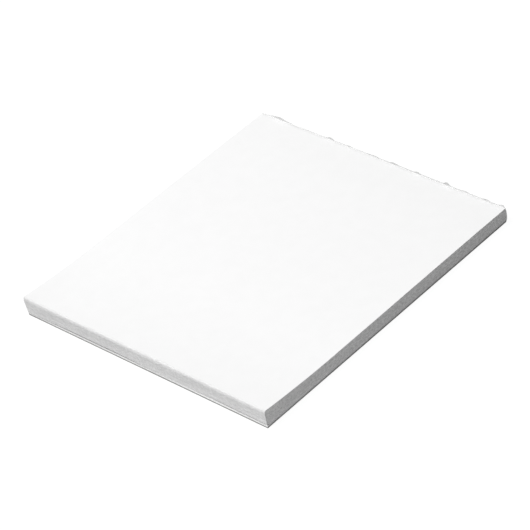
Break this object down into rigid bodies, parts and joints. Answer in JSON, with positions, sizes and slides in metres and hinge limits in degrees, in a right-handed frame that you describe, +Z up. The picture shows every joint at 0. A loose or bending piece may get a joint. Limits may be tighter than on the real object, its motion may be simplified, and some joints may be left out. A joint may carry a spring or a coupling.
{
  "type": "notepad",
  "caption": "Rectangular tear-off notepad: blank white leaves on a chipboard back, held along one edge by a dried glue film with a torn rim, the free edge curled up.",
  "frame": {"origin": "middle of the pad's footprint, on the underside of the backing board", "axes": "+X along the glued edge, to the right as the pad is read; +Y from the free edge to the glued edge; +Z up out of the top leaf"},
  "size_m": [0.1396, 0.1528, 0.0085],
  "materials": {
    "chipboard": "matte",
    "paper": "matte",
    "padding_glue": "satin"
  },
  "bodies": {
    "root": {"backing_board": "chipboard", "page_block": "paper", "glue_binding": "padding_glue"}
  },
  "joints": []
}
